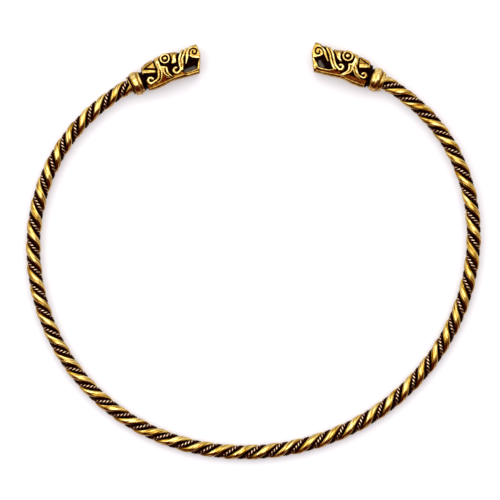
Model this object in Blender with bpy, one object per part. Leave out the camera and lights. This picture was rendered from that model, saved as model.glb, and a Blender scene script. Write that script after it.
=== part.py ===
"""Bronze torc: a neck ring twisted from two plain rods and two fine cords, with a cast beast head
on each end. It lies flat: +X is to the right, +Y towards the gap between the heads, +Z up."""

import math

import bmesh
import bpy
from mathutils import Matrix, Vector

MM = 0.001

# The ring's centreline, as a radius that changes slowly with the angle from +X
RING_RADIUS = 69.04 * MM
RING_OVAL = 3.65 * MM  # wider from left to right
RING_LEAN = 1.15 * MM  # and a little along one diagonal
RING_DRAW = 1.17 * MM  # the two shoulders are drawn in
RING_EASE = -0.40 * MM  # the ends are left straighter than the back
LEFT_MOUTH = math.radians(126.7)
RIGHT_MOUTH = math.radians(412.1)
END_BEND = 9 * MM  # the last stretch, which turns into the socket
END_STEPS = 12
RING_STEPS = 1200

# The twist, which runs to the left as an S does
ROD_RADIUS = 2.42 * MM  # of the strands and cords together
# The lay is uneven, because it was twisted by hand. Plain strands cross the rod's top one after
# another: this one by count does so this far along the rod, in mm. The first and last are past its tips.
STRAND_TOPS = ((-1, -5.0), (1, 9.1), (7, 50.4), (13, 93.2), (19, 136.6), (22, 159.7), (25, 182.0),
               (31, 226.8), (37, 270.7), (40, 292.9), (43, 316.3), (45, 330.9), (47, 346.5), (49, 361.5))
ROD_STEPS = 166  # about seven to a turn
STRAND_OFFSET = 1.28 * MM  # rod axis to strand axis
STRAND_EASE = 0.04 * MM  # keeps a strand clear of the cords beside it
CORD_OFFSET = 1.66 * MM
CORD_RADIUS = 0.72 * MM
FIT_GAP = 0.3 * MM  # between pieces that touch

# The terminals: x runs from the socket's mouth to the muzzle, y up to the crown, z to a flank
LEFT_TURN = math.radians(21.6)
RIGHT_TURN = math.radians(20.0)
SOCKET_DEPTH = 3.4 * MM
SOCKET_RADIUS = 2.6 * MM
COLLAR_SIDES = 14
NECK_START = 4.15 * MM
NECK_STEP = 0.2 * MM
NECK_RADIUS = 3.05 * MM
NECK_OVERLAP = 1 * MM  # how far the neck runs on inside the head
HEAD_START = 5.4 * MM
MUZZLE_START = 19 * MM
MUZZLE_END = 25.4 * MM
LEFT_LONGER = -0.15 * MM  # the two castings' muzzles differ a little in length
RIGHT_LONGER = 0.45 * MM
MUZZLE_RETREAT = 0.44  # below the nose, the lower jaw's end slopes back by this much of its drop
NOSE_FOOT = 1.3 * MM
HEAD_PROFILE = (  # along, crown, jaw, half width, in mm
    (5.4, 4.1, -3.75, 3.1),
    (7.2, 4.95, -4.1, 3.4),
    (9.9, 5.3, -4.1, 3.7),
    (12.2, 5.5, -3.8, 3.9),
    (15.4, 5.5, -3.8, 3.9),
    (17.3, 5.0, -4.05, 3.8),
    (19.0, 4.7, -4.2, 3.65),
    (21.6, 4.85, -4.4, 3.6),
    (25.4, 4.85, -4.65, 3.5),
)
HEAD_SECTION = (  # half width, height: shares of the profile's, crown to jaw
    (0.0, 1.0),
    (0.52, 0.95),
    (0.86, 0.8),
    (1.0, 0.5),
    (1.0, 0.25),
    (1.0, -0.8),
    (0.8, -1.0),
)
ROOT = 1.7 * MM  # how far the raised carving reaches into the flank
CUT_CLEAR = 1 * MM  # how far a cutter stands out past the flank
EYE = (13.95 * MM, 4.15 * MM)
EYE_RADIUS = 1.58 * MM
NOSE = (23.7 * MM, 2.85 * MM)
NOSE_RADIUS = 1.35 * MM
NOSE_RISE = 0.34 * MM
CURL_RADIUS = 1.75 * MM
CURL_WIDTH = 0.75 * MM
CURL_RISE = 0.3 * MM
EYE_RISE = 0.45 * MM


def bronze(name, colour, roughness):
    material = bpy.data.materials.new(name)
    material.use_nodes = True
    shader = material.node_tree.nodes["Principled BSDF"]
    shader.inputs["Base Color"].default_value = (*colour, 1)
    shader.inputs["Metallic"].default_value = 1
    shader.inputs["Roughness"].default_value = roughness
    return material


def new_object(name, shape, material, sharp=math.radians(40)):
    """A named object from a bmesh, shaded smooth but for its sharp edges."""
    bmesh.ops.recalc_face_normals(shape, faces=shape.faces)
    mesh = bpy.data.meshes.new(name)
    shape.to_mesh(mesh)
    shape.free()
    mesh.materials.append(material)
    mesh.shade_smooth()
    mesh.set_sharp_from_angle(angle=sharp)
    thing = bpy.data.objects.new(name, mesh)
    bpy.context.collection.objects.link(thing)
    return thing


# ---- the ring's centreline ----


def ring_point(angle):
    radius = RING_RADIUS + RING_OVAL * math.cos(2 * angle) + RING_LEAN * math.sin(2 * angle)
    radius += RING_DRAW * math.sin(3 * angle) + RING_EASE * math.cos(4 * angle)
    return Vector((radius * math.cos(angle), radius * math.sin(angle), 0))


def head_axes(turn, side):
    """Where a head points, its crown, and the flank that the crown and the point leave."""
    along = Vector((side * math.cos(turn), math.sin(turn), 0))
    crown = Vector((-side * math.sin(turn), math.cos(turn), 0))
    return along, crown, along.cross(crown)


def end_curve(mouth, into_socket, far, along_ring):
    """Points from the socket's mouth out to where the ring's own curve takes over."""
    points = []
    for step in range(END_STEPS):
        t = step / END_STEPS
        pull = END_BEND * t * (1 - t)
        point = mouth.lerp(far, t * t * (3 - 2 * t))
        points.append(point - into_socket * pull * (1 - t) - along_ring * pull * t)
    return points


def ring_route():
    """Closely spaced points from the left socket's floor, round the back, to the right one's."""
    left_in = head_axes(LEFT_TURN, 1)[0]
    right_in = head_axes(RIGHT_TURN, -1)[0]
    bend_angle = END_BEND / RING_RADIUS
    start = LEFT_MOUTH + bend_angle
    span = RIGHT_MOUTH - bend_angle - start
    back = [ring_point(start + span * i / RING_STEPS) for i in range(RING_STEPS + 1)]
    left_mouth = ring_point(LEFT_MOUTH)
    right_mouth = ring_point(RIGHT_MOUTH)
    left = end_curve(left_mouth, left_in, back[0], (back[1] - back[0]).normalized())
    right = end_curve(right_mouth, right_in, back[-1], (back[-2] - back[-1]).normalized())
    left_floor = left_mouth + left_in * (SOCKET_DEPTH - FIT_GAP)
    right_floor = right_mouth + right_in * (SOCKET_DEPTH - FIT_GAP)
    return [left_floor, *left, *back, *reversed(right), right_floor]


def strand_count(distance):
    """How many plain strands have crossed the top at this distance, smoothly between those counted."""
    last = len(STRAND_TOPS) - 1
    i = 0
    while i < last - 1 and STRAND_TOPS[i + 1][1] * MM < distance:
        i += 1
    (before, start), (after, end) = STRAND_TOPS[i], STRAND_TOPS[i + 1]
    t = (distance / MM - start) / (end - start)
    rates = []
    for k in (i, i + 1):
        (low, near), (high, far) = STRAND_TOPS[max(k - 1, 0)], STRAND_TOPS[min(k + 1, last)]
        rates.append((high - low) / (far - near) * (end - start))
    ease = t * t * (3 - 2 * t)
    bend = t * (1 - t) * (rates[0] * (1 - t) - rates[1] * t)
    return before + (after - before) * ease + bend


def ring_stations():
    """(centre, outward, twist angle) at even steps along the route."""
    route = ring_route()
    lengths = [0.0]
    for a, b in zip(route, route[1:]):
        lengths.append(lengths[-1] + (b - a).length)
    stations = []
    place = 0
    for i in range(ROD_STEPS + 1):
        distance = lengths[-1] * i / ROD_STEPS
        while place < len(route) - 2 and lengths[place + 1] < distance:
            place += 1
        step = route[place + 1] - route[place]
        centre = route[place] + step.normalized() * (distance - lengths[place])
        before = route[max(place - 1, 0)]
        after = route[min(place + 2, len(route) - 1)]
        along = (after - before).normalized()
        outward = Vector((along.y, -along.x, 0))
        stations.append((centre, outward, math.pi * strand_count(distance)))
    return stations


STATIONS = ring_stations()


# ---- the twisted strands and cords ----


def twisted_strand(name, offset, half_depth, half_width, sides, first_turn, material):
    """One strand of the twist, or one cord. Its section turns about the ring's centreline as it goes."""
    section = []
    for i in range(sides):
        a = math.tau * i / sides
        section.append((offset + half_depth * math.cos(a), half_width * math.sin(a)))
    shape = bmesh.new()
    rings = []
    up = Vector((0, 0, 1))
    for centre, outward, twist in STATIONS:
        angle = twist + first_turn
        ray = up * math.cos(angle) - outward * math.sin(angle)
        across = -up * math.sin(angle) - outward * math.cos(angle)
        rings.append([shape.verts.new(centre + ray * r + across * c) for r, c in section])
    for near, far in zip(rings, rings[1:]):
        for i in range(sides):
            j = (i + 1) % sides
            shape.faces.new((near[i], near[j], far[i]))
            shape.faces.new((near[j], far[j], far[i]))
    shape.faces.new(rings[0])
    shape.faces.new(rings[-1])
    return new_object(name, shape, material)


def slope_stretch(offset):
    """A round strand cut square to the rod looks wider round it, because it runs at a slope."""
    (first, start), (last, end) = STRAND_TOPS[0], STRAND_TOPS[-1]
    pitch = 2 * MM * (end - start) / (last - first)  # both plain strands cross the top in a turn
    return math.hypot(1, math.tau * offset / pitch)


# ---- the cast heads ----


def turned(profile, sides, centre, axis):
    """A closed turned shape. The profile is (along, radius) and starts and ends on the axis."""
    shape = bmesh.new()
    lift = Vector((0, 0, 1)).rotation_difference(axis)
    rings = []
    for along, radius in profile:
        ring = []
        for i in range(sides if radius else 1):
            a = math.tau * (i + 0.5) / sides
            point = Vector((radius * math.cos(a), radius * math.sin(a), along))
            ring.append(shape.verts.new(centre + lift @ point))
        rings.append(ring)
    for near, far in zip(rings, rings[1:]):
        for i in range(sides):
            j = (i + 1) % sides
            corners = [near[i % len(near)], near[j % len(near)], far[j % len(far)], far[i % len(far)]]
            shape.faces.new(list(dict.fromkeys(corners)))
    return shape


def flank_at(along):
    """Half the head's width at this place along it."""
    for (x0, *_, half0), (x1, *_, half1) in zip(HEAD_PROFILE, HEAD_PROFILE[1:]):
        if along <= x1 * MM:
            share = max(along / MM - x0, 0) / (x1 - x0)
            return (half0 + (half1 - half0) * share) * MM
    return HEAD_PROFILE[-1][3] * MM


def slab(outline, side, low, high):
    """A slab over this (x, y) outline. Its heights are measured from the flank, which it follows."""
    shape = bmesh.new()
    bottom = [shape.verts.new((x, y, side * (flank_at(x) + low))) for x, y in outline]
    top = [shape.verts.new((x, y, side * (flank_at(x) + high))) for x, y in outline]
    for i in range(len(outline)):
        j = (i + 1) % len(outline)
        shape.faces.new((bottom[i], bottom[j], top[j], top[i]))
    shape.faces.new(bottom)
    shape.faces.new(top)
    return shape


def curl(centre, radius, start, sweep, width, steps=5):
    """The outline of a tapering curved strand: an arc that draws in towards its tip."""
    outer = []
    inner = []
    for i in range(steps + 1):
        t = i / steps
        a = math.radians(start + sweep * t)
        far = radius * (1 - 0.35 * t)
        near = far - width * (1 - 0.55 * t)
        outer.append((centre[0] + far * math.cos(a), centre[1] + far * math.sin(a)))
        inner.append((centre[0] + near * math.cos(a), centre[1] + near * math.sin(a)))
    return outer + inner[::-1]


def collar_shape():
    """The socket for the rod, its bead, barrel and rim, and the neck that runs into the head."""
    profile = (
        (SOCKET_DEPTH, 0),
        (SOCKET_DEPTH, SOCKET_RADIUS),
        (0, SOCKET_RADIUS),
        (0, 2.95 * MM),
        (0.65 * MM, 2.95 * MM),
        (0.95 * MM, 3.55 * MM),
        (2.3 * MM, 3.95 * MM),
        (3.2 * MM, 3.65 * MM),
        (3.45 * MM, 3.5 * MM),
        (3.8 * MM, 3.65 * MM),
        (NECK_START, 3.5 * MM),
        (NECK_START + NECK_STEP, NECK_RADIUS),
        (HEAD_START + NECK_OVERLAP, NECK_RADIUS),
        (HEAD_START + NECK_OVERLAP, 0),
    )
    return turned(profile, COLLAR_SIDES, Vector(), Vector((1, 0, 0)))


def head_body():
    """The plain mass of the head, one section after another, with the chin drawn back."""
    right = HEAD_SECTION
    left = [(-wide, high) for wide, high in reversed(HEAD_SECTION) if wide]
    shape = bmesh.new()
    rings = []
    for along, crown, jaw, half in HEAD_PROFILE:
        middle = (crown + jaw) / 2
        reach = (crown - jaw) / 2
        retreat = MUZZLE_RETREAT * ((along * MM - HEAD_START) / (MUZZLE_END - HEAD_START)) ** 4
        ring = []
        for wide, high in (*right, *left):
            y = (middle + reach * high) * MM
            x = along * MM - retreat * max(NOSE_FOOT - y, 0)
            ring.append(shape.verts.new((x, y, half * wide * MM)))
        rings.append(ring)
    for near, far in zip(rings, rings[1:]):
        for i in range(len(near)):
            j = (i + 1) % len(near)
            shape.faces.new((near[i], near[j], far[j], far[i]))
    for ring in (rings[0], rings[-1]):
        shape.faces.new((ring[0], ring[1], ring[-1]))
        for i in range(1, len(right) - 1):
            shape.faces.new((ring[i], ring[i + 1], ring[-i - 1], ring[-i]))
    return shape


def round_boss(centre, side, profile, sides):
    """A turned boss on the flank. The profile is (height over the flank, radius)."""
    flank = flank_at(centre[0])
    rise = [(flank - ROOT, 0), (flank - ROOT, profile[0][1])]
    rise += [(flank + high, radius) for high, radius in profile]
    return turned(rise, sides, Vector((*centre, 0)), Vector((0, 0, side)))


def flank_carvings(side):
    """(name, kind, shape) of what stands proud of one flank or is cut into it."""
    raised = {  # height over the flank and outline, in mm
        "ear": (0.38, [(5.0, 3.4), (10.1, 4.7), (9.8, 3.6), (9.3, 1.5)]),
        "brow": (0.35, [(10.5, 4.6), (11.8, 5.0), (12.1, 2.7), (13.4, 1.6), (13.3, 0.2), (11.2, -0.2)]),
        "muzzle_strand": (0.40, [(17.7, 3.6), (19.5, 3.9), (17.9, 0.6), (17.2, -1.5), (16.6, -1.4)]),
        "nose_strand": (0.32, [(20.2, 4.0), (21.5, 4.2), (19.4, 0.7)]),
        "jaw_rim": (0.15, [(6.2, -2.9), (14.0, -2.8), (22.5, -3.5), (22.3, -4.0), (6.2, -3.6)]),
    }
    for name, (rise, points) in raised.items():
        outline = [(x * MM, y * MM) for x, y in points]
        yield name, "UNION", slab(outline, side, -ROOT - rise * MM, rise * MM)
    curls = {"cheek_curl": (7.6 * MM, -0.2 * MM), "jaw_curl": (16.0 * MM, -0.5 * MM)}
    for name, centre in curls.items():
        outline = curl(centre, CURL_RADIUS, -20, -290, CURL_WIDTH)
        yield name, "UNION", slab(outline, side, -ROOT, CURL_RISE)
    eye = [(1, 1), (1, 0.68), (0.05, 0.6), (0.05, 0.42), (0.8, 0.32), (0.8, 0)]
    profile = [(rise * EYE_RISE, share * EYE_RADIUS) for rise, share in eye]
    yield "eye", "UNION", round_boss(EYE, side, profile, 10)
    yield "nose", "UNION", round_boss(NOSE, side, [(NOSE_RISE, NOSE_RADIUS), (NOSE_RISE, 0)], 8)
    sunk = {
        "mouth": (1.5, [(17.75, -2.4), (19.5, 0.5), (22.2, 1.15), (23.4, 0.1), (22.1, -3.0)]),
        "ear_hollow": (0.2, [(7.1, 3.5), (9.6, 4.2), (9.2, 2.4)]),
    }
    for name, (depth, points) in sunk.items():
        outline = [(x * MM, y * MM) for x, y in points]
        yield name, "DIFFERENCE", slab(outline, side, -depth * MM, CUT_CLEAR)


def lengthened(shape, longer):
    """The shape with its muzzle drawn out by this much at the end."""
    for vertex in shape.verts:
        past = max(vertex.co.x - MUZZLE_START, 0) / (MUZZLE_END - MUZZLE_START)
        vertex.co.x += longer * past
    return shape


def beast_head(name, mouth_angle, turn, side, longer, material):
    """One casting: socket, collar, neck and head, carved alike on both flanks."""
    head = new_object(name, lengthened(head_body(), longer), material)
    helpers = [("UNION", new_object(name + ".collar", collar_shape(), material))]
    for flank in (1, -1):
        for part, kind, shape in flank_carvings(flank):
            helper = new_object(f"{name}.{part}.{flank:+d}", lengthened(shape, longer), material)
            helpers.append((kind, helper))
    helpers.sort(key=lambda helper: helper[0], reverse=True)
    for kind, helper in helpers:
        step = head.modifiers.new(helper.name, "BOOLEAN")
        step.operation = kind
        step.object = helper
        helper.hide_render = True
        helper.display_type = "WIRE"
        helper.parent = head
    along, crown, flank = head_axes(turn, side)
    axes = Matrix((along, crown, flank)).transposed().to_4x4()
    head.matrix_local = Matrix.Translation(ring_point(mouth_angle)) @ axes
    return head


# ---- the torc laid down ----


def lay_flat(pieces):
    """Tips the ring until the heads and the ring's back both touch z = 0, with its middle at x = y = 0."""
    root = bpy.data.objects.new("torc", None)
    bpy.context.collection.objects.link(root)
    for piece in pieces:
        piece.parent = root
    heads_low = flank_at(EYE[0]) + EYE_RISE
    reach = ring_point(math.pi * 1.5).length + ring_point(LEFT_MOUTH).y
    tip = math.atan((heads_low - ROD_RADIUS) / reach)
    root.rotation_euler = (tip, 0, 0)
    bpy.context.view_layer.update()
    graph = bpy.context.evaluated_depsgraph_get()
    low = Vector((math.inf,) * 3)
    high = Vector((-math.inf,) * 3)
    for piece in pieces:
        placed = piece.evaluated_get(graph)
        for vertex in placed.data.vertices:
            point = placed.matrix_world @ vertex.co
            low = Vector(map(min, low, point))
            high = Vector(map(max, high, point))
    root.location = (-(low.x + high.x) / 2, -(low.y + high.y) / 2, -low.z)


def build():
    for thing in list(bpy.data.objects):
        bpy.data.objects.remove(thing)
    polished = bronze("polished_bronze", (0.72, 0.47, 0.13), 0.25)
    darkened = bronze("darkened_bronze", (0.09, 0.05, 0.025), 0.5)
    cast = bronze("cast_bronze", (0.60, 0.38, 0.11), 0.35)
    pieces = []
    strand_depth = ROD_RADIUS - STRAND_OFFSET
    strand_width = (strand_depth - STRAND_EASE) * slope_stretch(STRAND_OFFSET)
    cord_width = CORD_RADIUS * slope_stretch(CORD_OFFSET)
    for i in range(2):
        turn = math.pi * i
        name = f"plain_strand_{i + 1}"
        pieces.append(twisted_strand(name, STRAND_OFFSET, strand_depth, strand_width, 6, turn, polished))
    for i in range(2):
        turn = math.pi * (i + 0.5)
        name = f"twisted_cord_{i + 1}"
        pieces.append(twisted_strand(name, CORD_OFFSET, CORD_RADIUS, cord_width, 4, turn, darkened))
    ends = (
        ("beast_head_left", LEFT_MOUTH, LEFT_TURN, 1, LEFT_LONGER),
        ("beast_head_right", RIGHT_MOUTH, RIGHT_TURN, -1, RIGHT_LONGER),
    )
    for name, mouth_angle, turn, side, longer in ends:
        pieces.append(beast_head(name, mouth_angle, turn, side, longer, cast))
    lay_flat(pieces)


build()
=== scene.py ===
"""Bronze torc: the looks. An open neck ring of two polished bronze strands and two dark corded
strands twisted into one rod, with a cast beast head on each end. Everything is in metres, in the
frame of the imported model: +X is to the right, +Y towards the gap between the heads, +Z up."""

import math

import bpy
import numpy as np
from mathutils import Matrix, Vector


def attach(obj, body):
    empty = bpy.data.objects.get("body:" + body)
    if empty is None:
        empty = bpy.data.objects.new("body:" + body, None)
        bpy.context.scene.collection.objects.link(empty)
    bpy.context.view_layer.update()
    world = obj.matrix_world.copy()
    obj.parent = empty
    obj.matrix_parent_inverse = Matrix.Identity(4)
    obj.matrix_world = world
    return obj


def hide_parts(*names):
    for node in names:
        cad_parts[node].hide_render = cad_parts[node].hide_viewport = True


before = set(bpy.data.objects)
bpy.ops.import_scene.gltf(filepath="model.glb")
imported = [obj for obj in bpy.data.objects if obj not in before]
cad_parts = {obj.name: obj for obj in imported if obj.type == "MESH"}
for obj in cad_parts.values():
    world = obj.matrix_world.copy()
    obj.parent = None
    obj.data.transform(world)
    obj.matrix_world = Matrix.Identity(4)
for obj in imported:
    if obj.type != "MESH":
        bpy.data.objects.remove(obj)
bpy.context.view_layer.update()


# ---- The two plain strands ----
# Each is a round bronze bar, drawn smooth and bent round as the rod was twisted. Handling has
# rubbed their outsides bright; down in the twist they keep the red-brown and black of age, and
# there their colour is darkened further as painted shade in the grooves beside the cords.

MM = 0.001

# The course of the ring's centreline, and how it lies on the table, as in the CAD
RING_RADIUS = 69.04 * MM
RING_OVAL = 3.65 * MM  # wider from left to right
RING_LEAN = 1.15 * MM  # and a little along one diagonal
RING_DRAW = 1.17 * MM  # the two shoulders are drawn in
RING_EASE = -0.40 * MM  # the ends are left straighter than the back
COURSE_STEPS = 1200
LEFT_MOUTH = math.radians(126.7)  # where the sockets' mouths are, round the ring
RIGHT_MOUTH = math.radians(412.1)
LEFT_TURN = math.radians(21.6)  # how far each head points up, away from the ring's left or right
RIGHT_TURN = math.radians(20.0)
END_BEND = 9 * MM  # the last stretch, which turns into the socket
BEND_STEPS = 12
SOCKET_DEPTH = 3.4 * MM
TIP_GAP = 0.3 * MM  # between the rod's tips and the sockets' floors
LYING_TILT = math.radians(0.92)  # the heads are thicker than the rod, so the torc lies tipped
RING_PLACE = np.array((-0.097, -0.082, 3.479)) * MM

ROD_RADIUS = 2.42 * MM  # of the strands and cords together
# The lay is uneven, because it was twisted by hand. The plain strands cross the rod's top one after
# another: each pair counts one and says how far along the rod it crosses, in mm. The first and the
# last pair lie past the rod's tips.
STRAND_TOPS = (
    (-1, -5.0),
    (1, 9.1),
    (7, 50.4),
    (13, 93.2),
    (19, 136.6),
    (22, 159.7),
    (25, 182.0),
    (31, 226.8),
    (37, 270.7),
    (40, 292.9),
    (43, 316.3),
    (45, 330.9),
    (47, 346.5),
    (49, 361.5),
)
TOP_COUNT = np.array([count for count, _ in STRAND_TOPS])
TOP_PLACE = np.array([place for _, place in STRAND_TOPS]) * MM
# Both plain strands cross the top in one turn
TURN_LENGTH = 2 * (TOP_PLACE[-1] - TOP_PLACE[0]) / (TOP_COUNT[-1] - TOP_COUNT[0])

STRAND_OFFSET = 1.24 * MM  # rod axis to strand axis
STRAND_SIDES = 22
STRAND_STEP = 0.55 * MM
STRAND_FLAT = 2.6  # 2 is round; a little more, because the strands are worn flat on the outside
# The dark below the first is patina, and painted shade where the grooves lie in shade
STRAND_RUB_AND_SHADE = (1.68 * MM, 2.13 * MM)  # from the rod's axis: dark below the first, bright past the second
STRAND_STRIPS = 8  # the strand's length is folded into so many strips on its bake map
STRIP_MARGIN = 0.04  # of a strip's width, left free on each side
ENDS_ON_MAP = 0.999  # the hidden ends share this corner of the map
PATTERN_APART = 700  # mm along the streaks' pattern, so that no two strands are streaked the same

UP = np.array((0.0, 0.0, 1.0))


def ring_point(angle):
    radius = RING_RADIUS + RING_OVAL * np.cos(2 * angle) + RING_LEAN * np.sin(2 * angle)
    radius = radius + RING_DRAW * np.sin(3 * angle) + RING_EASE * np.cos(4 * angle)
    return np.stack((radius * np.cos(angle), radius * np.sin(angle), 0 * angle), axis=-1)


def head_axes(turn, side):
    """Where a head points, and where its crown is."""
    along = np.array((side * math.cos(turn), math.sin(turn), 0.0))
    crown = np.array((-side * math.sin(turn), math.cos(turn), 0.0))
    return along, crown


def end_bend(mouth, into_socket, far, along_ring):
    """The last stretch of the ring, which turns into the socket."""
    t = np.arange(BEND_STEPS)[:, None] / BEND_STEPS
    pull = END_BEND * t * (1 - t)
    straight = mouth + (far - mouth) * t * t * (3 - 2 * t)
    return straight - into_socket * pull * (1 - t) - along_ring * pull * t


def ring_course():
    """Points from the rod's tip in the left socket, round the back, to its tip in the right one."""
    left_in = head_axes(LEFT_TURN, 1)[0]
    right_in = head_axes(RIGHT_TURN, -1)[0]
    bend = END_BEND / RING_RADIUS
    back = ring_point(np.linspace(LEFT_MOUTH + bend, RIGHT_MOUTH - bend, COURSE_STEPS + 1))
    left_mouth = ring_point(np.array(LEFT_MOUTH))
    right_mouth = ring_point(np.array(RIGHT_MOUTH))
    left_along = (back[1] - back[0]) / np.linalg.norm(back[1] - back[0])
    right_along = (back[-2] - back[-1]) / np.linalg.norm(back[-2] - back[-1])
    left = end_bend(left_mouth, left_in, back[0], left_along)
    right = end_bend(right_mouth, right_in, back[-1], right_along)[::-1]
    left_tip = left_mouth + left_in * (SOCKET_DEPTH - TIP_GAP)
    right_tip = right_mouth + right_in * (SOCKET_DEPTH - TIP_GAP)
    return np.vstack((left_tip, left, back, right, right_tip))


COURSE = ring_course()
COURSE_RUN = np.concatenate(([0.0], np.cumsum(np.linalg.norm(np.diff(COURSE, axis=0), axis=1))))
ROD_LENGTH = COURSE_RUN[-1]


def strand_count(distance):
    """How many plain strands have crossed the top at this distance, smoothly between those counted."""
    last = len(TOP_COUNT) - 1
    low = np.maximum(np.arange(last + 1) - 1, 0)
    high = np.minimum(np.arange(last + 1) + 1, last)
    rate = (TOP_COUNT[high] - TOP_COUNT[low]) / (TOP_PLACE[high] - TOP_PLACE[low])
    i = np.clip(np.searchsorted(TOP_PLACE, distance) - 1, 0, last - 1)
    gap = TOP_PLACE[i + 1] - TOP_PLACE[i]
    t = (distance - TOP_PLACE[i]) / gap
    bend = t * (1 - t) * gap * (rate[i] * (1 - t) - rate[i + 1] * t)
    return TOP_COUNT[i] + (TOP_COUNT[i + 1] - TOP_COUNT[i]) * t * t * (3 - 2 * t) + bend


def rod_at(distance):
    """The rod's centre, the ring's outward side there and the twist, at these distances along it."""
    slopes = np.gradient(COURSE, COURSE_RUN, axis=0)
    centre = np.stack([np.interp(distance, COURSE_RUN, COURSE[:, i]) for i in range(3)], axis=-1)
    along = np.stack([np.interp(distance, COURSE_RUN, slopes[:, i]) for i in range(3)], axis=-1)
    along /= np.linalg.norm(along, axis=1, keepdims=True)
    outward = np.stack((along[:, 1], -along[:, 0], 0 * along[:, 0]), axis=-1)
    return centre, outward, math.pi * strand_count(distance)


def laid(points):
    """Points of the level ring, tipped and moved to where the torc lies."""
    c = math.cos(LYING_TILT)
    s = math.sin(LYING_TILT)
    tipped = points @ np.array(((1, 0, 0), (0, c, s), (0, -s, c)))
    return tipped + RING_PLACE


def smooth_step(low, high, value):
    t = np.clip((value - low) / (high - low), 0, 1)
    return t * t * (3 - 2 * t)


def tube(name, rings, rub, lay, strips):
    """A closed tube through rings of points, (stations, sides, 3). Rub says how bright each point
    is worn, and where it is painted darker as shade or paler as highlight; lay is its place along
    and round the tube in mm. The bake map lays the tube's length out as this many strips."""
    stations, sides = rings.shape[:2]
    i, j = np.meshgrid(np.arange(stations - 1), np.arange(sides), indexing="ij")
    step = np.stack((i + 0 * j, j), axis=-1).reshape(-1, 1, 2)
    corner = step + np.array(((1, 0), (1, 1), (0, 1), (0, 0)))  # in this order faces split with the twist
    quads = corner[..., 0] * sides + corner[..., 1] % sides
    ends = [list(range(sides)), [(stations - 1) * sides + k for k in reversed(range(sides))]]
    mesh = bpy.data.meshes.new(name)
    mesh.from_pydata(rings.reshape(-1, 3).tolist(), [], quads.tolist() + ends)
    mesh.shade_smooth()
    mesh.attributes.new("rub", "FLOAT", "POINT").data.foreach_set("value", rub.reshape(-1))
    mesh.attributes.new("lay", "FLOAT_VECTOR", "POINT").data.foreach_set("vector", lay.reshape(-1))
    per_strip = math.ceil((stations - 1) / strips)
    strip = corner[:, :1, 0] // per_strip
    u = (corner[..., 0] - strip * per_strip) / per_strip
    v = (strip + STRIP_MARGIN + (1 - 2 * STRIP_MARGIN) * corner[..., 1] / sides) / strips
    flat = np.concatenate((np.stack((u, v), axis=-1).reshape(-1), np.full(4 * sides, ENDS_ON_MAP)))
    mesh.uv_layers.new(name="OFBake").data.foreach_set("uv", flat)
    thing = bpy.data.objects.new(name, mesh)
    bpy.context.scene.collection.objects.link(thing)
    return thing


def linear(hex_colour):
    """An sRGB hex colour as linear red, green, blue and alpha."""
    parts = [int(hex_colour[i : i + 2], 16) / 255 for i in (1, 3, 5)]
    return [c / 12.92 if c <= 0.04045 else ((c + 0.055) / 1.055) ** 2.4 for c in parts] + [1.0]


def add(tree, kind, settings=(), **links):
    """A new node. Settings are its properties, the plain values of its inputs, or a colour ramp's
    stops as (place, hex colour); links join inputs to other nodes' outputs. An underscore in a
    name stands for a space."""
    node = tree.nodes.new(kind)
    for key, value in dict(settings).items():
        if key == "stops":
            for place, _ in value[1:-1]:
                node.color_ramp.elements.new(place)
            for element, (place, colour) in zip(node.color_ramp.elements, value):
                element.position = place
                element.color = linear(colour)
        elif isinstance(key, str) and hasattr(node, key):
            setattr(node, key, value)
        else:
            node.inputs[key].default_value = value
    for key, source in links.items():
        place = int(key[3:]) if key.startswith("in_") else key.replace("_", " ")
        tree.links.new(source, node.inputs[place])
    return node


STREAK_DEPTH = 0.12 * MM
STREAK_NOISE = (0.35, 0.6)  # the noise's usual low and high
STREAK_LIFT = 0.2  # streaks brighten the metal by so much of what they darken it


def worn_and_painted_bronze(name, stops, rough, streak_mm, contrast):
    """Bronze that is black in the hollows and polished where it is rubbed, and painted darker or
    paler where its rub carries painted shade or highlights. Streaks are as long and as wide as
    streak_mm says; rough is the roughness of the dark and of the bright metal."""
    material = bpy.data.materials.new(name)
    material.use_nodes = True
    tree = material.node_tree
    shader = tree.nodes["Principled BSDF"]
    shader.inputs["Metallic"].default_value = 1.0
    place = add(tree, "ShaderNodeAttribute", {"attribute_name": "lay"}).outputs["Vector"]
    per_mm = (1 / streak_mm[0], 1 / streak_mm[1], 1 / streak_mm[1])
    scaled = add(tree, "ShaderNodeVectorMath", {"operation": "MULTIPLY", 1: per_mm}, in_0=place)
    streak = add(tree, "ShaderNodeTexNoise", {"Scale": 1.0, "Detail": 3, "Roughness": 0.6},
                 Vector=scaled.outputs[0])
    # The rub attribute carries wear, and painted shade and painted highlights as well
    rub = add(tree, "ShaderNodeAttribute", {"attribute_name": "rub"}).outputs["Fac"]
    uneven = add(tree, "ShaderNodeMapRange", {"From Min": STREAK_NOISE[0], "From Max": STREAK_NOISE[1],
                 "To Min": -contrast, "To Max": contrast * STREAK_LIFT}, Value=streak.outputs["Fac"])
    wear_and_painted_light = add(tree, "ShaderNodeMath", {"operation": "ADD", "use_clamp": True}, in_0=rub,
               in_1=uneven.outputs[0])
    tone = add(tree, "ShaderNodeValToRGB", {"stops": stops}, in_0=wear_and_painted_light.outputs[0])
    tree.links.new(tone.outputs[0], shader.inputs["Base Color"])
    polish = add(tree, "ShaderNodeMapRange", {"To Min": rough[0], "To Max": rough[1]},
                 Value=wear_and_painted_light.outputs[0])
    tree.links.new(polish.outputs[0], shader.inputs["Roughness"])
    bump = add(tree, "ShaderNodeBump", {"Strength": 1.0, "Distance": STREAK_DEPTH},
               Height=streak.outputs["Fac"])
    tree.links.new(bump.outputs[0], shader.inputs["Normal"])
    return material


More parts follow.
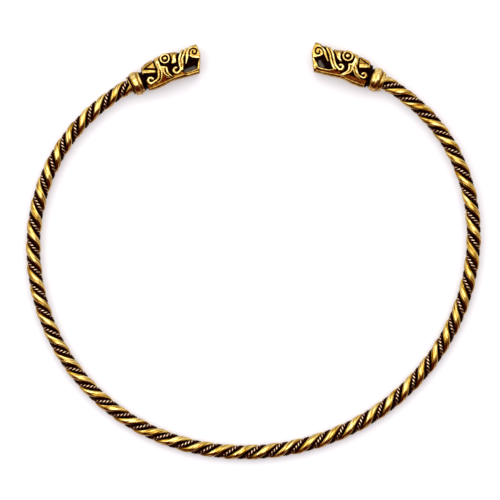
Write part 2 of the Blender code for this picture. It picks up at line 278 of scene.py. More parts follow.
# Drawn bronze, smooth along its length: handling polishes the outside of each turn to a yellow
# gold with a clear shine, and draws the streaks out along the strand. Real drawing lines are a few
# hundredths of a millimetre wide, too fine to show, so they are drawn 0.5 mm wide and 3.2 mm long.
STRAND_TONES = (
    (0.0, "#1c0504"),
    (0.3, "#541406"),
    (0.5, "#8e5a14"),
    (0.7, "#bf9a30"),
    (0.85, "#e0be5a"),
    (1.0, "#f8e4a0"),
)
drawn_bronze = worn_and_painted_bronze("drawn_bronze", STRAND_TONES, (0.36, 0.13), (3.2, 0.5), 0.6)


def plain_strand(name, node, first_turn):
    stations = round(ROD_LENGTH / STRAND_STEP)
    centre, outward, twist = rod_at(np.linspace(0, ROD_LENGTH, stations))
    turn = (twist + first_turn)[:, None]
    ray = UP * np.cos(turn) - outward * np.sin(turn)
    across = -UP * np.sin(turn) - outward * np.cos(turn)
    depth = ROD_RADIUS - STRAND_OFFSET
    # A round bar that slants across the rod is wider there than it is deep
    slope = math.tau * STRAND_OFFSET / TURN_LENGTH
    width = depth * math.hypot(1, slope)
    round_it = np.linspace(0, math.tau, STRAND_SIDES, endpoint=False)
    squash = np.abs(np.cos(round_it)) ** STRAND_FLAT + np.abs(np.sin(round_it)) ** STRAND_FLAT
    reach = squash ** (-1 / STRAND_FLAT)
    out = STRAND_OFFSET + depth * reach * np.cos(round_it)
    aside = width * reach * np.sin(round_it)
    rings = centre[:, None] + ray[:, None] * out[:, None] + across[:, None] * aside[:, None]
    # Painted shade as well as patina: the colour darkens towards the grooves beside the cords
    rub = smooth_step(*STRAND_RUB_AND_SHADE, np.hypot(out, aside)) + np.zeros((stations, 1))
    run = np.linspace(0, ROD_LENGTH, stations)[:, None] / MM
    lay = np.stack((run + 0 * out, 0 * run + out / MM, 0 * run + aside / MM), axis=-1)
    lay[..., 0] += PATTERN_APART * math.cos(first_turn)
    strand = tube(name, laid(rings), rub, lay, STRAND_STRIPS)
    strand.data.materials.append(drawn_bronze)
    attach(strand, "root")
    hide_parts(node)


for number in (1, 2):
    plain_strand(f"strand_{number}", f"plain_strand_{number}", math.pi * (number - 1))


# ---- The two corded strands ----
# Each is three fine bronze wires twisted tightly together, laid in the groove between the
# plain strands. They are black with age, and only the top of each turn is bright: rubbed, and
# painted pale as a highlight.

CORD_OFFSET = 1.64 * MM
WIRE_RADIUS = 0.35 * MM
WIRE_LAY = 0.40 * MM  # cord axis to wire axis
WIRE_PITCH = 3.36 * MM
WIRE_SIDES = 12
WIRE_STEPS_PER_TURN = 13
WIRE_STRIPS = 15
WIRE_PATTERN_APART = 900 * MM  # along the streaks' pattern, for each radian round the cord
CORD_STEPS = 4000
# The pale ticks that these two mask out are rubbed crests with painted highlights
CREST_RUB_AND_HIGHLIGHT = (0.68 * MM, 0.745 * MM)  # from the cord's axis: only the crest of each wire is bright
CORD_RUB_AND_HIGHLIGHT = (2.12 * MM, 2.32 * MM)  # from the rod's axis: and only on the cord's open side

# Fine bronze wire, black with age: the crests of its lay are rubbed, and painted pale as
# highlight ticks. Its drawing lines are too fine to show, so they are drawn 0.4 mm wide and
# 1.2 mm long.
WIRE_TONES = (
    (0.0, "#240706"),
    (0.35, "#3e0f0a"),
    (0.6, "#6a4432"),
    (0.85, "#e2c6a8"),
    (1.0, "#fff0da"),
)
corded_bronze = worn_and_painted_bronze("blackened_bronze_wire", WIRE_TONES, (0.45, 0.24), (1.2, 0.4), 0.15)


def fine_wire(name, cord_turn, wire_turn):
    """One wire of a cord: a helix about the cord's axis, which is a helix about the rod's."""
    along_rod = np.linspace(0, ROD_LENGTH, CORD_STEPS)
    centre, outward, twist = rod_at(along_rod)
    turn = (twist + cord_turn)[:, None]
    axis = centre + (UP * np.cos(turn) - outward * np.sin(turn)) * CORD_OFFSET
    run = np.concatenate(([0.0], np.cumsum(np.linalg.norm(np.diff(axis, axis=0), axis=1))))
    stations = round(run[-1] / WIRE_PITCH * WIRE_STEPS_PER_TURN)
    cord_run = np.linspace(0, run[-1], stations)
    centre, outward, twist = rod_at(np.interp(cord_run, run, along_rod))
    turn = (twist + cord_turn)[:, None]
    ray = UP * np.cos(turn) - outward * np.sin(turn)
    cord = centre + ray * CORD_OFFSET
    along = np.gradient(cord, axis=0)
    along /= np.linalg.norm(along, axis=1, keepdims=True)
    side = np.cross(along, ray)
    lay = (wire_turn - math.tau * cord_run / WIRE_PITCH)[:, None]
    wire = cord + (ray * np.cos(lay) + side * np.sin(lay)) * WIRE_LAY
    along = np.gradient(wire, axis=0)
    along /= np.linalg.norm(along, axis=1, keepdims=True)
    out = wire - cord
    out = out - along * np.sum(out * along, axis=1, keepdims=True)
    out /= np.linalg.norm(out, axis=1, keepdims=True)
    side = np.cross(out, along)
    round_it = np.linspace(0, math.tau, WIRE_SIDES, endpoint=False)[:, None]
    rings = wire[:, None] + WIRE_RADIUS * (
        out[:, None] * np.cos(round_it) + side[:, None] * np.sin(round_it)
    )
    from_cord = np.linalg.norm(rings - cord[:, None], axis=2)
    from_rod = np.linalg.norm(rings - centre[:, None], axis=2)
    # Painted highlight: pale ticks on the crests, on the cord's open side, which are rubbed there too
    rub = smooth_step(*CREST_RUB_AND_HIGHLIGHT, from_cord) * smooth_step(*CORD_RUB_AND_HIGHLIGHT, from_rod)
    round_it = round_it[:, 0] + 0 * lay
    place = cord_run[:, None] + 0 * round_it + WIRE_PATTERN_APART * wire_turn
    places = (place, WIRE_RADIUS * np.cos(round_it), WIRE_RADIUS * np.sin(round_it))
    thing = tube(name, laid(rings), rub, np.stack(places, axis=-1) / MM, WIRE_STRIPS)
    thing.data.materials.append(corded_bronze)
    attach(thing, "root")
    return thing


for number in (1, 2):
    for letter, wire_turn in (("a", 0.0), ("b", math.tau / 3), ("c", -math.tau / 3)):
        piece = fine_wire(f"cord_{number}_wire_{letter}", math.pi * (number - 0.5), wire_turn)
        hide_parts(f"twisted_cord_{number}")


# ---- The two beast heads ----
# Each head is one bronze casting with its collar, made in the lost-wax way: strands of wax were
# laid on the block and lines cut in it before casting. The rod's end sits in the collar's socket.

SOCKET_RADIUS = 2.6 * MM
SOCKET_EDGE = 0.1  # mm, the slope where its wall meets its floor
FLOOR_MIDDLE = 0.05  # mm, the radius of the innermost ring on the floor
HEAD_START = 5.4 * MM  # this and the next two, from the socket's mouth
MUZZLE_START = 19 * MM
MUZZLE_END = 25.4 * MM
NOSE_FOOT = 1.3 * MM  # above the head's middle line
CHIN_RETREAT = 0.44  # below the nose's foot, the muzzle's end slopes back by this much of its drop
EDGE_ROUND = 0.35 * MM  # the radius of the muzzle's edge
EDGE_RINGS = 5
HALF_ROUND = 144  # points from the middle of the crown to the middle of the jaw
RELIEF_STEP = 0.085 * MM
UNDER_RELIEF = 0.75  # the flank on the table has the same relief, but lower
HEAD_PATTERN_APART = 60  # mm along the streaks' pattern, so that the heads aren't streaked the same

# Along the head, the height of its crown and jaw and its half width, in mm, and how square its
# top is: 2 is round
HEAD_PROFILE = (
    (5.4, 4.1, 3.8, 3.1, 3.0),
    (7.2, 5.0, 4.1, 3.4, 3.2),
    (9.9, 5.35, 4.1, 3.7, 3.4),
    (12.2, 5.55, 3.8, 3.9, 5.0),
    (14.0, 5.65, 3.75, 3.95, 7.0),
    (15.6, 5.45, 3.85, 3.9, 6.0),
    (17.3, 5.0, 4.06, 3.8, 4.0),
    (19.0, 4.7, 4.25, 3.65, 4.0),
    (21.6, 4.85, 4.43, 3.6, 4.5),
    (25.4, 4.85, 4.65, 3.5, 5.0),
)
JAW_SQUARENESS = 6.0
SECTION_SAMPLES = 1201
PROFILE_STEPS = 40  # between each two of the points above
COLLAR_STEPS = 5  # the same for the collars below
LINE_STEPS = 12  # and for the strokes
CURL_POINTS = 7
WIDEST = 1.2  # mm, more than any stroke's half width
FAR_OFF = 99.0  # mm, farther than any place on a head


def through(points, steps):
    """A smooth curve through points, with so many steps between each two."""
    p = np.asarray(points, dtype=float)
    before = np.vstack((2 * p[0] - p[1], p[:-2]))
    after = np.vstack((p[2:], 2 * p[-1] - p[-2]))
    t = np.linspace(0, 1, steps, endpoint=False)[:, None, None]
    a, b, c, d = before, p[:-1], p[1:], after
    curve = b + 0.5 * t * (c - a + t * (2 * a - 5 * b + 4 * c - d + t * (3 * (b - c) + d - a)))
    curve = np.swapaxes(curve, 0, 1).reshape(-1, p.shape[1])
    return np.vstack((curve, p[-1]))


def curl(x, y, reach, tip, start, sweep, half_width):
    """The round stretch of a strand or a cut: an arc about (x, y) whose reach draws in to its tip."""
    arc = []
    for share in np.linspace(0, 1, CURL_POINTS):
        angle = math.radians(start + sweep * share)
        far = reach + (tip - reach) * share
        arc.append((x + far * math.cos(angle), y + far * math.sin(angle), half_width))
    return arc


def on_strand(x, y, points):
    """How high up the round back of a strand each place is: 1 on its ridge, 0 off it. Points give
    the strand's line and its half width, in mm."""
    line = through(points, LINE_STEPS)
    low = line[:, :2].min(axis=0) - WIDEST
    high = line[:, :2].max(axis=0) + WIDEST
    close = np.nonzero((x > low[0]) & (x < high[0]) & (y > low[1]) & (y < high[1]))[0]
    nearest = np.full(len(close), FAR_OFF)
    for px, py, half_width in line:
        away = ((x[close] - px) ** 2 + (y[close] - py) ** 2) / half_width**2
        nearest = np.minimum(nearest, away)
    back = np.zeros_like(x)
    back[close] = np.sqrt(np.clip(1 - nearest, 0, 1))
    return back


def inside(x, y, outline):
    """How far inside an outline each place is, in mm; less than 0 outside."""
    ring = np.asarray(outline, dtype=float)
    nearest = np.full(len(x), FAR_OFF)
    within = np.zeros(len(x), dtype=bool)
    for (ax, ay), (bx, by) in zip(ring, np.roll(ring, -1, axis=0)):
        share = ((x - ax) * (bx - ax) + (y - ay) * (by - ay)) / ((bx - ax) ** 2 + (by - ay) ** 2)
        share = np.clip(share, 0, 1)
        off = np.hypot(x - ax - share * (bx - ax), y - ay - share * (by - ay))
        nearest = np.minimum(nearest, off)
        crosses = (ay > y) != (by > y)
        rising = np.where(by == ay, 1, by - ay)
        within ^= crosses & (x < ax + (y - ay) * (bx - ax) / rising)
    return np.where(within, nearest, -nearest)


GROUND = -0.42  # mm, the depth of the ground between the strands
OUTLINE_EDGE = 0.12  # mm, half the slope at a sunk or raised outline's edge
SKIN_RUB = 0.88  # how bright the casting's skin is where nothing is worked into it
# Where up a plate's edge, a strand's back and a cut's wall the brightness starts and stops changing
PLATE_RUB = (0.35, 0.9)
WAX_RUB = (0.15, 0.65)
CUT_RUB = (0.15, 0.75)
CUT_FLOOR = 0.7  # how far in from a cut's sides it has its full depth: 0 at a side, 1 in its middle
STRAND_ROUND = 0.8  # less than 1, so that a strand's back is fuller than half round
PAINTED_MOUTH_SHADE_RUB = (0.3, 0.1)  # painted mouth shade goes only where the metal is as dark as this

# An eye of size 1, in mm from the pupil's middle
EYE_HOLLOW = (2.35, 1.95)  # the top and the foot of the hollow's wall
EYE_BOSS = (1.78, 1.66)  # the foot and the top of the wall round the eye itself
EYE_RING = 1.42
EYE_RING_HALF = 0.34
EYE_PUPIL = 0.72
EYE_HOLLOW_TOP = (5.5, 4.6)  # mm up the head, where the hollow runs out towards the crown
EYE_HOLLOW_DEPTH = 0.1  # mm below the ground
EYE_FOOT = -0.25  # mm, the height between the pupil and the ring
EYE_RISE = 0.5  # mm, how far those two stand above it
EYE_RUB = (0.25, 0.75)  # how far up them the brightness starts and stops changing


def eye_relief(x, y, centre, size):
    """A domed pupil in a ring, in a round hollow: heights, rub, and how far the hollow and the eye
    replace what was there."""
    from_pupil = np.hypot(x - centre[0], y - centre[1]) / size
    hollow = smooth_step(*EYE_HOLLOW, from_pupil) * smooth_step(*EYE_HOLLOW_TOP, y)
    boss = smooth_step(*EYE_BOSS, from_pupil)
    ring = np.sqrt(np.clip(1 - ((from_pupil - EYE_RING) / EYE_RING_HALF) ** 2, 0, 1))
    pupil = np.sqrt(np.clip(1 - (from_pupil / EYE_PUPIL) ** 2, 0, 1))
    shape = np.maximum(ring, pupil)
    return EYE_FOOT + EYE_RISE * shape, smooth_step(*EYE_RUB, shape), hollow, boss


def carve(x, y, strokes):
    """The relief of a head's side from its strokes, in the order they were worked: the height, the
    rub with its painted shade, and the painted shade in the mouths at each place, x along the head
    and y up it, in mm."""
    height = np.zeros_like(x)
    rub = np.full_like(x, SKIN_RUB)
    dust = np.zeros_like(x)
    for tool, points, level, bright in strokes:
        if tool == "sink":
            share = smooth_step(-OUTLINE_EDGE, OUTLINE_EDGE, inside(x, y, points))
            height = height + (level - height) * share
            rub = rub + (bright - rub) * share
        elif tool == "plate":
            share = smooth_step(-OUTLINE_EDGE, OUTLINE_EDGE, inside(x, y, points))
            height = np.maximum(height, GROUND + (level - GROUND) * share)
            rub = np.maximum(rub, bright * smooth_step(*PLATE_RUB, share))
        elif tool == "strand":
            back = on_strand(x, y, points)
            height = np.maximum(height, GROUND + (level - GROUND) * back**STRAND_ROUND)
            rub = np.maximum(rub, bright * smooth_step(*WAX_RUB, back))
        elif tool == "cut":
            back = on_strand(x, y, points)
            height = height + (level - height) * smooth_step(0, CUT_FLOOR, back)
            rub = rub + (bright - rub) * smooth_step(*CUT_RUB, back)
        elif tool == "eye":
            shape, shine, hollow, boss = eye_relief(x, y, points, level)
            height = height + (GROUND - EYE_HOLLOW_DEPTH - height) * hollow
            rub = rub * (1 - hollow)
            height = height + (shape - height) * boss
            rub = rub + (shine - rub) * boss
        elif tool == "dust":
            # Painted shade: the grey of the shadowed table seen through the open mouth
            dust = np.maximum(dust, bright * on_strand(x, y, points) ** 2)
    return height, rub, dust * smooth_step(*PAINTED_MOUTH_SHADE_RUB, rub)


# What was worked into the left head: the tool, its line or outline in mm (a line also gives its
# half width), the height it leaves, and how bright that is rubbed or painted. An eye has its centre
# and its size instead, and for the painted shade in the mouths the last number is how strongly it is
# painted.
LEFT_STROKES = (
    # The ground, sunk between the strands
    ("sink", ((4.6, -1.9), (10.2, -2), (11.2, -2.9), (13.5, -2.9), (18, -2.4), (20.5, -3),
              (22.5, -3.1), (24, -0.5), (26.3, 0.1), (26.3, 6.4), (18.3, 6.4), (15.8, 5.1),
              (12, 5.1), (10.9, 6.4), (4.6, 6.4)), GROUND, 0.0),
    ("sink", ((4.6, 0), (5.6, 0), (5.6, -3.5), (4.6, -3.5)), GROUND, 0.0),
    # Panels above the jaw's rim, painted red-brown as shade where the flank turns away from the light
    ("sink", ((5.4, -1.8), (10.5, -2.2), (11.8, -3.1), (5.6, -3.2)), -0.2, 0.5),
    ("sink", ((11.6, -0.2), (12.1, -1.1), (13.4, -2.5), (13.4, -2.9), (10.6, -3), (10.1, -2.4)),
     -0.3, 0.32),
    ("sink", ((14.1, -2.1), (17.6, -2), (18.7, -2.9), (14.1, -2.8)), -0.22, 0.55),
    # The ear: a plate with a wedge cut in it and a raised lower edge
    ("plate", ((4.9, 2.6), (5.1, 3.7), (5.7, 6.4), (10, 6.4), (9.8, 2.4), (9.6, 0.9), (8.9, 0.8),
               (6.9, 1.7)), -0.02, 0.85),
    ("strand", ((5.3, 2.6, 0.48), (7.9, 1.7, 0.44), (9.3, 1.2, 0.4)), 0.12, 1.0),
    ("cut", ((6.4, 3.5, 0.3), (8.2, 4.1, 0.28), (9.6, 4.6, 0.23)), -0.35, 0.0),
    ("cut", ((6.4, 3.4, 0.3), (7.9, 2.8, 0.35), (9.6, 2, 0.33)), -0.35, 0.0),
    ("cut", ((9.9, 6.4, 0.16), (9.9, 4, 0.17), (9.9, 2.1, 0.28), (9.6, 0.6, 0.3)), -0.4, 0.0),
    # The cheek's trunk, which parts into a curl behind and tendrils in front
    ("strand", ((11.3, 6.4, 1.05), (11, 3.1, 0.82), (11.3, 1.4, 1)), 0.12, 1.0),
    ("strand", ((11.5, 1.8, 0.55), (12.5, 1.5, 0.55), (13.2, 1.2, 0.48)), 0.1, 1.0),
    ("strand", ((10.8, 1.4, 0.55), (10.3, 0.6, 0.5), (10.1, -0.2, 0.46), (9.3, -1.3, 0.42),
                *curl(7, -0.9, 1, 0.8, -75, -265, 0.5)), 0.14, 1.0),
    ("strand", ((11.5, 0.8, 0.33), (11.2, -0.1, 0.35), (10.3, -1.8, 0.3), (8.9, -2.5, 0.16)),
     0.06, 0.95),
    ("cut", ((11, 3.4, 0.13), (10.9, 1.7, 0.13), (10.8, 0.6, 0.2)), -0.05, 0.55),
    ("strand", ((12.2, 1.1, 0.44), (12, -0.1, 0.38), (12.4, -1.1, 0.3), (13.2, -1.9, 0.16)),
     0.06, 0.95),
    ("strand", ((13.3, 1.1, 0.41), (13.1, -0.2, 0.39), (13.4, -1.2, 0.33), (14, -2.2, 0.2)),
     0.08, 1.0),
    ("strand", ((12.1, -1.8, 0.13), (13, -2.2, 0.16), (13.7, -3, 0.2)), -0.05, 0.8),
    # The eye, in its hollow
    ("eye", (13.9, 4.1), 1.0, 1.0),
    # The brow in front of it
    ("plate", ((15.2, 1.9), (15.6, 1.5), (17, 1.5), (17.4, 3.2), (18.2, 4.2), (18.4, 6.4),
               (15.4, 6.4), (16.1, 4.2), (16, 2.9)), 0.06, 0.8),
    ("strand", ((17.1, 4, 0.43), (16.6, 2.4, 0.5), (16, 2, 0.43)), 0.12, 1.0),
    # Nose strands, which rise from a second curl and cross the bridge
    ("strand", ((20.2, 4.9, 0.43), (18.4, 2.5, 0.43), (17.8, 0.6, 0.43), (17.6, -1, 0.48),
                *curl(16.1, -0.8, 1.1, 0.75, -45, -235, 0.5)), 0.12, 1.0),
    ("strand", ((21.7, 4.9, 0.43), (19.4, 2.2, 0.41), (18.9, 0.9, 0.42), (17.9, -1.3, 0.45)),
     0.1, 1.0),
    ("cut", ((18.7, 1.9, 0.13), (18.4, 0.8, 0.2), (18.1, -0.2, 0.26)), -0.15, 0.55),
    ("strand", ((23.3, 4.7, 0.5), (21.7, 3.5, 0.54), (20.9, 1.9, 0.57), (19.8, 0, 0.26)),
     0.1, 1.0),
    # The open mouth, with painted shade on its floor for the shadowed table seen through it, its lip, and
    # the bar in front
    ("sink", ((20, 0), (21.5, 1.9), (22.2, 1.2), (23.8, 0.2), (24.1, -0.3), (23.6, -0.8),
              (22.4, -2.9), (18.9, -2.7), (18.1, -2.3), (18.7, -1.3)), -0.95, 0.0),
    ("dust", ((18.9, -2.3, 0.8), (21.7, -2.3, 0.85)), 0.0, 0.9),
    ("cut", ((17.9, -2.6, 0.23), (19.5, -3.4, 0.26), (22.6, -3.6, 0.26)), -0.3, 0.15),
    ("strand", ((18.7, -2.8, 0.16), (20.4, -3.1, 0.23), (22.6, -3.1, 0.26)), 0.05, 0.95),
    ("strand", ((24.6, -0.4, 0.36), (23.7, -1.7, 0.43), (22.9, -3.1, 0.4)), 0.02, 0.95),
    # The nose plate, its border and the spiral cut in it
    ("plate", ((22.2, 6.4), (26.3, 6.4), (26.3, 0), (24.5, -0.1), (22.9, 0.8), (21.8, 1.9),
               (21.8, 2.5), (22.6, 4)), 0.0, 0.88),
    ("strand", ((22, 2.1, 0.4), (22.4, 1.4, 0.43), (24, 0.5, 0.46), (24.8, 0.2, 0.36)), 0.14, 1.0),
    ("cut", (*curl(23.7, 2.8, 1.85, 0.95, 195, -115, 0.25), *curl(23.7, 2.8, 0.9, 0.9, 50, -160, 0.26),
             *curl(23.7, 2.8, 0.8, 0.35, -140, -90, 0.22)), -0.3, 0.0),
    # The rim along the jaw
    ("strand", ((5.1, -3.7, 0.6), (11, -3.7, 0.7), (14.5, -3.5, 0.65), (17.4, -3.7, 0.65),
                (23.4, -4.3, 0.7)), -0.05, 0.84),
)

# The right head's wax was worked after the same model, but each strand fell a little differently
RIGHT_STROKES = (
    # The ground, sunk between the strands
    ("sink", ((4.6, -1.6), (9.5, -1.7), (12.8, -2.3), (14.1, -2.7), (16.8, -1.7), (18.7, -2.3),
              (22, -2.6), (23.4, -1.2), (24.5, -0.4), (26.7, -0.4), (26.7, 6.4), (19.4, 6.4),
              (16.3, 5), (12.5, 5), (11.5, 6.4), (4.6, 6.4)), GROUND, 0.0),
    ("sink", ((4.6, 0), (6, 0), (6, -5), (4.6, -5)), GROUND, 0.0),
    # Panels above the jaw's rim, painted dark red as shade where the flank turns away from the light
    ("sink", ((6, -1.4), (7.6, -1.8), (11.8, -1.7), (13.3, -2.5), (12.7, -3), (6.2, -3.1)),
     -0.28, 0.38),
    ("sink", ((14.8, -1.6), (17.1, -1.8), (18.1, -2.5), (21, -3.1), (22.8, -3.1), (22.5, -3.8),
              (19.7, -3.5), (14.8, -2.6)), -0.28, 0.36),
    # The ear: a plate with a notch cut in its top and a raised lower edge
    ("plate", ((6.2, 2.9), (6.3, 3.7), (6.9, 6.4), (10.4, 6.4), (9.9, 2.6), (9.6, 1.7), (9, 1.6),
               (6.4, 2.7)), -0.02, 0.85),
    ("strand", ((6.6, 3, 0.43), (7.8, 2.6, 0.46), (9.3, 2, 0.44)), 0.1, 1.0),
    ("cut", ((7.1, 4, 0.3), (8.6, 4.4, 0.37), (9.7, 4.8, 0.26)), -0.35, 0.0),
    ("cut", ((7.6, 3.9, 0.15), (9.8, 3.1, 0.16)), -0.12, 0.5),
    ("cut", ((10.6, 6.4, 0.2), (10.5, 4.4, 0.25), (10.2, 3.1, 0.3), (9.5, 1.1, 0.33)), -0.4, 0.0),
    # The cheek's trunk, which parts into a curl behind and tendrils in front
    ("strand", ((11.8, 6.4, 1), (11.2, 3.4, 0.85), (11.3, 1.9, 1.05)), 0.12, 1.0),
    ("strand", ((11.5, 1.9, 0.53), (12.9, 1.6, 0.46)), 0.1, 1.0),
    ("strand", ((10.6, 1.3, 0.55), (10, 0.5, 0.5), (8.9, -0.6, 0.42),
                *curl(7.2, -0.1, 0.9, 0.6, -75, -255, 0.46)), 0.14, 1.0),
    ("strand", ((11.4, 0.9, 0.33), (10.8, 0.2, 0.34), (9.8, -0.9, 0.33), (8.2, -1.5, 0.2)),
     0.06, 0.95),
    ("cut", ((11.1, 2.7, 0.13), (11.1, 1.7, 0.13), (10.7, 0.9, 0.2)), -0.05, 0.6),
    ("strand", ((11.7, 1.4, 0.44), (11.5, 0.3, 0.39), (11.9, -0.9, 0.35), (13.5, -2.2, 0.26)),
     0.06, 0.95),
    ("strand", ((12.8, 1.4, 0.43), (12.5, 0.4, 0.41), (12.7, -0.8, 0.4), (14.5, -2.7, 0.3)),
     0.08, 1.0),
    ("strand", ((13.7, -2.2, 0.3), (13.3, -3, 0.3)), 0.04, 0.9),
    # The eye, in its hollow
    ("eye", (14.3, 4.1), 1.08, 1.0),
    # The brow in front of it
    ("plate", ((15.4, 1.5), (16.3, 1.5), (17.5, 2.4), (18.4, 3.6), (19.1, 4), (19.4, 6.4),
               (15.8, 6.4), (16.7, 4.2), (16.4, 2.7)), 0.06, 0.8),
    ("strand", ((17.4, 4, 0.43), (16.9, 2.5, 0.5), (16, 1.9, 0.4)), 0.12, 1.0),
    # Nose strands, which rise from a second curl and cross the bridge
    ("strand", ((20.9, 4.9, 0.4), (19.4, 3.4, 0.4), (18.3, 1.7, 0.4), (17.4, 0.3, 0.46),
                *curl(15.3, -0.1, 0.95, 0.65, -55, -255, 0.48)), 0.12, 1.0),
    ("strand", ((22, 4.7, 0.4), (20.1, 2.7, 0.38), (19, 0.9, 0.43), (17.6, -0.9, 0.46),
                (16.6, -1.4, 0.3)), 0.1, 1.0),
    ("strand", ((24.3, 4.2, 0.4), (22.4, 3.4, 0.41), (21.2, 1.8, 0.47), (19.9, 0.3, 0.26)),
     0.1, 1.0),
    ("cut", ((21.4, 3.2, 0.2), (22.9, 4.1, 0.23), (23.7, 4.5, 0.17)), -0.3, 0.0),
    # The open mouth, with painted shade on its floor for the shadowed table seen through it, its lip, and
    # the bar in front
    ("sink", ((19.9, 0.1), (21.6, 1.5), (22.2, 1), (24.2, -0.1), (23.5, -0.5), (22.9, -1.3),
              (22.5, -2.5), (18.7, -2.3), (18.2, -1.8), (18.9, -1)), -0.95, 0.0),
    ("dust", ((22.3, -0.8, 0.6), (21.9, -1.5, 0.85), (20.9, -2, 0.7)), 0.0, 1.0),
    ("strand", ((17.2, -1.6, 0.2), (18.9, -2.5, 0.25), (22.1, -2.8, 0.26), (22.7, -2.3, 0.26)),
     0.05, 0.95),
    ("strand", ((25.1, -0.4, 0.5), (24, -1.7, 0.66), (23.4, -3, 0.53)), 0.02, 0.95),
    ("cut", ((25.1, -1, 0.2), (24.8, -1.7, 0.36), (24.6, -2.2, 0.2)), -0.4, 0.0),
    # The nose plate, its border and the spiral cut in it
    ("plate", ((23, 6.4), (26.7, 6.4), (26.7, -0.3), (24.4, -0.1), (22.5, 0.9), (22.2, 2.1),
               (23.2, 3.5), (24.2, 3.8)), 0.0, 0.88),
    ("strand", ((22.5, 1.9, 0.4), (22.7, 1.3, 0.43), (23.9, 0.5, 0.46), (24.8, 0, 0.43)), 0.14, 1.0),
    ("cut", (*curl(24, 2.3, 1.3, 0.95, 135, -130, 0.24), *curl(24, 2.3, 0.95, 1, -10, -90, 0.24),
             *curl(24, 2.3, 0.95, 0.5, -120, -70, 0.24)), -0.3, 0.0),
    # The rim along the jaw
    ("strand", ((6.4, -3.7, 0.6), (11.5, -3.7, 0.65), (14.5, -3.5, 0.65), (17.4, -3.8, 0.65),
                (23.4, -4.5, 0.65)), -0.02, 0.92),
)


def head_section(crown, jaw, half_width, squareness):
    """Half a cross-section, crown to jaw, as up and out, with the way out from it at each point."""
    turn = np.linspace(0, math.pi, SECTION_SAMPLES)
    power = np.where(turn < math.pi / 2, squareness, JAW_SQUARENESS)
    up_reach = np.where(turn < math.pi / 2, crown, jaw)
    up = np.sign(np.cos(turn)) * np.abs(np.cos(turn)) ** (2 / power)
    out = np.abs(np.sin(turn)) ** (2 / power)
    steps = np.hypot(np.diff(up * up_reach), np.diff(out * half_width))
    run = np.concatenate(([0.0], np.cumsum(steps)))
    even = np.linspace(0, run[-1], HALF_ROUND + 1)
    up_way = np.sign(up) * np.abs(up) ** (power - 1) / up_reach
    out_way = out ** (power - 1) / half_width
    size = np.hypot(up_way, out_way)
    columns = (up * up_reach, out * half_width, up_way / size, out_way / size)
    return [np.interp(even, run, column) for column in columns]


# The muzzle's end, in mm: a square mouth and two nostrils, sunk in it
MUZZLE_SHARES = np.linspace(0.95, 0.03, 24)  # the size of each ring on it, 1 being its edge
MUZZLE_RUB = 0.85
MOUTH_MIDDLE = -1.0
MOUTH_HALF_HEIGHT = 1.7
MOUTH_HALF_WIDTH = 2.3
MOUTH_EDGE = 0.15
MOUTH_DEPTH = 0.8
NOSTRIL_UP = 3.0
NOSTRIL_OUT = 1.4
NOSTRIL_WALL = (0.6, 0.3)  # its radius at the top and at the foot
NOSTRIL_DEPTH = 0.4

LEAN_ENDS = (0.3, 1.3)  # mm along the head, where the lean of the collar's mouth dies out
RELIEF_STARTS = (5.3, 6.0)  # mm along the head, where the relief comes in: the neck has none


def collar_rings(collar, lean, ring_angle):
    """The socket's floor and wall, and the collar and neck round it, as rings about the head's
    middle line. Each ring is half of one: its places along, up and out, how far the relief moves
    them up, out and along, the rub with its painted light, and the painted mouth shade."""
    rings = []
    bore = SOCKET_RADIUS / MM
    floor_at = SOCKET_DEPTH / MM
    bore_rings = (
        (floor_at, FLOOR_MIDDLE, 0),
        (floor_at, bore - SOCKET_EDGE, 0),
        (floor_at - SOCKET_EDGE, bore, 0),
    )
    for x, radius, bright in np.vstack((bore_rings, through(collar, COLLAR_STEPS))):
        up = radius * np.cos(ring_angle)
        tilt = lean * up * (1 - smooth_step(*LEAN_ENDS, x))
        none = 0 * up
        rings.append((x + tilt, up, radius * np.sin(ring_angle), none, none, none, none + bright, none))
    return rings


def carved_rings(along_mm, sizes, longer, strokes):
    """The head itself: its cross-sections first, then the carving over all of them at once."""
    sections = [(x, head_section(*size), 1.0) for x, *size in zip(along_mm, *sizes)]
    end = MUZZLE_END / MM
    edge = EDGE_ROUND / MM
    for part in np.linspace(1 / EDGE_RINGS, 1, EDGE_RINGS) * math.pi / 2:
        inset = edge * (1 - math.cos(part)) * np.array((1, 1, 1, 0))
        rounded = head_section(*(sizes[:, -1] - inset))
        sections.append((end - edge + edge * math.sin(part), rounded, math.cos(part)))
    up, out, up_way, out_way = (np.array([shape[i] for _, shape, _ in sections]) for i in range(4))
    hold = np.array([kept for _, _, kept in sections])[:, None]
    x = np.array([place for place, _, _ in sections])[:, None] + 0 * up
    x = x + longer * np.maximum(x - MUZZLE_START / MM, 0) / (end - MUZZLE_START / MM)
    share = (x - HEAD_START / MM) / (end - HEAD_START / MM)
    # The chin's slope comes in only towards the muzzle's end
    x = x - CHIN_RETREAT * share**4 * np.maximum(NOSE_FOOT / MM - up, 0)
    carved = carve(x.reshape(-1), up.reshape(-1), strokes)
    height, rub, dust = (column.reshape(x.shape) for column in carved)
    height = height * smooth_step(*RELIEF_STARTS, x) * hold
    return list(zip(x, up, out, up_way * height, out_way * height, 0 * up, rub, dust))


